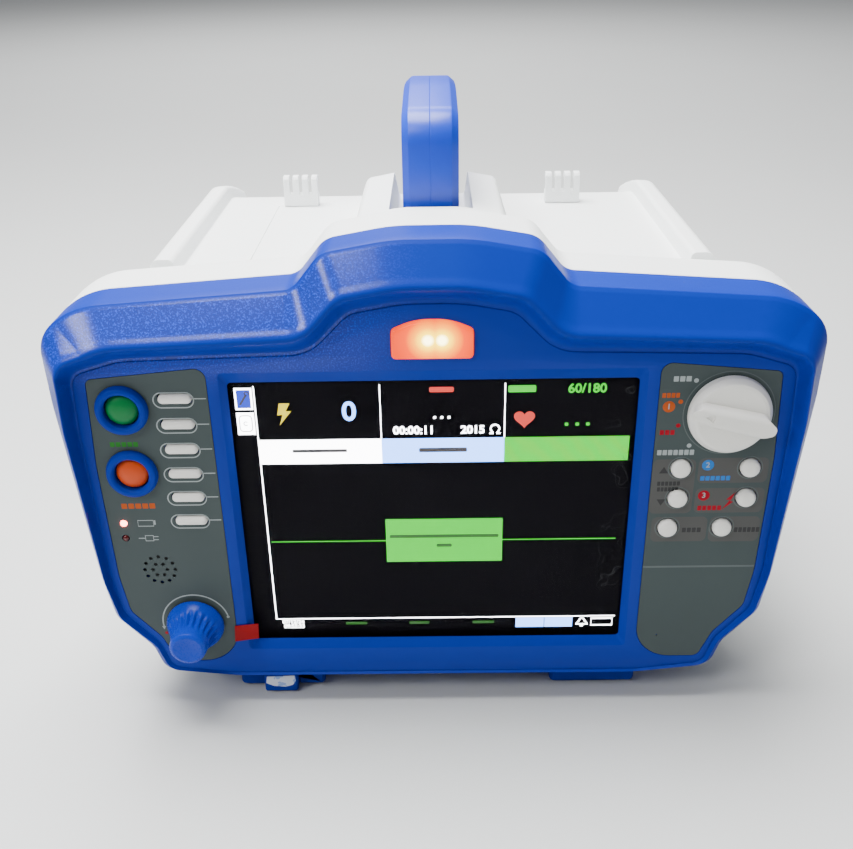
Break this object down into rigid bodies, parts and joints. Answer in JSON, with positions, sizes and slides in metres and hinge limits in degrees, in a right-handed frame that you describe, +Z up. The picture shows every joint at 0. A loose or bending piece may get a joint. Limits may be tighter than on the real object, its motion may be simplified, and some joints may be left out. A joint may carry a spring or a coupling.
{
  "type": "defibrillator monitor",
  "caption": "Portable defibrillator monitor with a screen in a raised rim, push buttons, rotary mode knob, jog knob, paddle trays, carrying handle, recorder and removable battery.",
  "frame": {"origin": "middle of the footprint, on the surface the monitor stands on", "axes": "+X to the viewer's right, +Y to the back (the screen faces -Y), +Z up"},
  "size_m": [0.324, 0.233, 0.2733],
  "materials": {
    "blue_plastic": "satin moulded plastic, fine texture on part of the front rim",
    "white_plastic": "matt warm white moulded plastic",
    "button_white": "satin",
    "overlay_grey": "matt grey-green",
    "black_plastic": "satin",
    "steel": "plated sheet and pins",
    "rubber": "matt",
    "circuit_board": "solder mask",
    "red_film": "thin film",
    "red_lens": "clear red lens",
    "paper": "thermal paper",
    "window": "clear, glossy",
    "lamp_amber": "translucent amber",
    "button_green": "satin dome",
    "button_orange": "satin dome"
  },
  "bodies": {
    "case": {"front_bezel": "blue_plastic", "left_overlay": "overlay_grey", "right_overlay": "overlay_grey", "display_window": "window", "lcd_module": "black_plastic", "film_pull_tab": "red_film", "alarm_lamp": "lamp_amber", "power_collar": "blue_plastic", "alarm_collar": "blue_plastic", "mode_switch": "black_plastic", "jog_encoder": "black_plastic", "battery_led": "red_lens", "mains_led": "red_lens", "left_key_board": "circuit_board", "right_key_board": "circuit_board", "speaker": "black_plastic", "rear_shell": "white_plastic", "carry_handle": "blue_plastic", "left_paddle_clip": "white_plastic", "right_paddle_clip": "white_plastic", "left_skid": "blue_plastic", "right_skid": "blue_plastic", "left_skid_pad": "rubber", "right_skid_pad": "rubber", "battery_bay": "overlay_grey", "mains_inlet": "black_plastic", "earth_stud": "steel", "recorder_frame": "overlay_grey", "recorder_hinge_pin": "steel", "chassis": "steel", "main_board": "circuit_board", "hv_capacitor": "overlay_grey", "hv_module": "black_plastic", "power_supply": "steel", "ecg_socket": "overlay_grey", "paddle_socket": "black_plastic"},
    "power_button": {"power_button": "button_green"},
    "alarm_button": {"alarm_button": "button_orange"},
    "soft_key_1": {"soft_key_1": "button_white"},
    "soft_key_2": {"soft_key_2": "button_white"},
    "soft_key_3": {"soft_key_3": "button_white"},
    "soft_key_4": {"soft_key_4": "button_white"},
    "soft_key_5": {"soft_key_5": "button_white"},
    "soft_key_6": {"soft_key_6": "button_white"},
    "energy_up_button": {"energy_up_button": "button_white"},
    "energy_down_button": {"energy_down_button": "button_white"},
    "charge_button": {"charge_button": "button_white"},
    "shock_button": {"shock_button": "button_white"},
    "sync_button": {"sync_button": "button_white"},
    "disarm_button": {"disarm_button": "button_white"},
    "mode_knob": {"mode_knob": "button_white"},
    "jog_shaft": {"jog_shaft": "steel"},
    "jog_knob": {"jog_knob": "blue_plastic"},
    "docking_catch": {"docking_catch": "blue_plastic"},
    "battery_pack": {"battery_pack": "black_plastic"},
    "battery_latch": {"battery_latch": "blue_plastic"},
    "recorder_door": {"recorder_door": "white_plastic"},
    "recorder_latch": {"recorder_latch": "blue_plastic"},
    "platen_roller": {"platen_roller": "rubber"},
    "paper_roll": {"paper_roll": "paper"}
  },
  "joints": [
    {"name": "power_press", "type": "slide", "parent": "case", "child": "power_button", "axis": [0, 1, 0], "range_m": [0, 0.002], "stiffness_N_per_m": 250},
    {"name": "alarm_press", "type": "slide", "parent": "case", "child": "alarm_button", "axis": [0, 1, 0], "range_m": [0, 0.002], "stiffness_N_per_m": 250},
    {"name": "soft_key_1_press", "type": "slide", "parent": "case", "child": "soft_key_1", "axis": [0, 1, 0], "range_m": [0, 0.001], "stiffness_N_per_m": 250},
    {"name": "soft_key_2_press", "type": "slide", "parent": "case", "child": "soft_key_2", "axis": [0, 1, 0], "range_m": [0, 0.001], "stiffness_N_per_m": 250},
    {"name": "soft_key_3_press", "type": "slide", "parent": "case", "child": "soft_key_3", "axis": [0, 1, 0], "range_m": [0, 0.001], "stiffness_N_per_m": 250},
    {"name": "soft_key_4_press", "type": "slide", "parent": "case", "child": "soft_key_4", "axis": [0, 1, 0], "range_m": [0, 0.001], "stiffness_N_per_m": 250},
    {"name": "soft_key_5_press", "type": "slide", "parent": "case", "child": "soft_key_5", "axis": [0, 1, 0], "range_m": [0, 0.001], "stiffness_N_per_m": 250},
    {"name": "soft_key_6_press", "type": "slide", "parent": "case", "child": "soft_key_6", "axis": [0, 1, 0], "range_m": [0, 0.001], "stiffness_N_per_m": 250},
    {"name": "energy_up_press", "type": "slide", "parent": "case", "child": "energy_up_button", "axis": [0, 1, 0], "range_m": [0, 0.0012], "stiffness_N_per_m": 250},
    {"name": "energy_down_press", "type": "slide", "parent": "case", "child": "energy_down_button", "axis": [0, 1, 0], "range_m": [0, 0.0012], "stiffness_N_per_m": 250},
    {"name": "charge_press", "type": "slide", "parent": "case", "child": "charge_button", "axis": [0, 1, 0], "range_m": [0, 0.0012], "stiffness_N_per_m": 250},
    {"name": "shock_press", "type": "slide", "parent": "case", "child": "shock_button", "axis": [0, 1, 0], "range_m": [0, 0.0012], "stiffness_N_per_m": 250},
    {"name": "sync_press", "type": "slide", "parent": "case", "child": "sync_button", "axis": [0, 1, 0], "range_m": [0, 0.0012], "stiffness_N_per_m": 250},
    {"name": "disarm_press", "type": "slide", "parent": "case", "child": "disarm_button", "axis": [0, 1, 0], "range_m": [0, 0.0012], "stiffness_N_per_m": 250},
    {"name": "mode_turn", "type": "hinge", "parent": "case", "child": "mode_knob", "pos_m": [0.1248, -0.0964, 0.1547], "axis": [0, 1, 0], "range_deg": [-60, 30]},
    {"name": "jog_push", "type": "slide", "parent": "case", "child": "jog_shaft", "axis": [0, 1, 0], "range_m": [0, 0.001], "stiffness_N_per_m": 300},
    {"name": "jog_turn", "type": "hinge", "parent": "jog_shaft", "child": "jog_knob", "pos_m": [-0.1132, -0.0976, 0.0483], "axis": [0, 1, 0], "continuous": true},
    {"name": "catch_press", "type": "slide", "parent": "case", "child": "docking_catch", "axis": [0, 1, 0], "range_m": [0, 0.004], "stiffness_N_per_m": 400},
    {"name": "battery_slide", "type": "slide", "parent": "case", "child": "battery_pack", "axis": [0, 1, 0], "range_m": [0, 0.12]},
    {"name": "battery_latch_lift", "type": "slide", "parent": "case", "child": "battery_latch", "axis": [0, 0, 1], "range_m": [0, 0.004], "stiffness_N_per_m": 250},
    {"name": "door_swing", "type": "hinge", "parent": "case", "child": "recorder_door", "pos_m": [0.1464, 0.014, 0.0639], "axis": [0, 1, 0], "range_deg": [0, 75]},
    {"name": "door_latch_press", "type": "slide", "parent": "recorder_door", "child": "recorder_latch", "axis": [-1, 0, 0], "range_m": [0, 0.002], "stiffness_N_per_m": 250},
    {"name": "platen_turn", "type": "hinge", "parent": "recorder_door", "child": "platen_roller", "pos_m": [0.1395, 0.014, 0.1195], "axis": [0, 1, 0], "continuous": true},
    {"name": "paper_turn", "type": "hinge", "parent": "case", "child": "paper_roll", "pos_m": [0.117, 0.014, 0.0819], "axis": [0, 1, 0], "continuous": true}
  ],
  "couplings": [
    {"joint": "paper_turn", "follows": "platen_turn", "ratio": -0.26316}
  ]
}
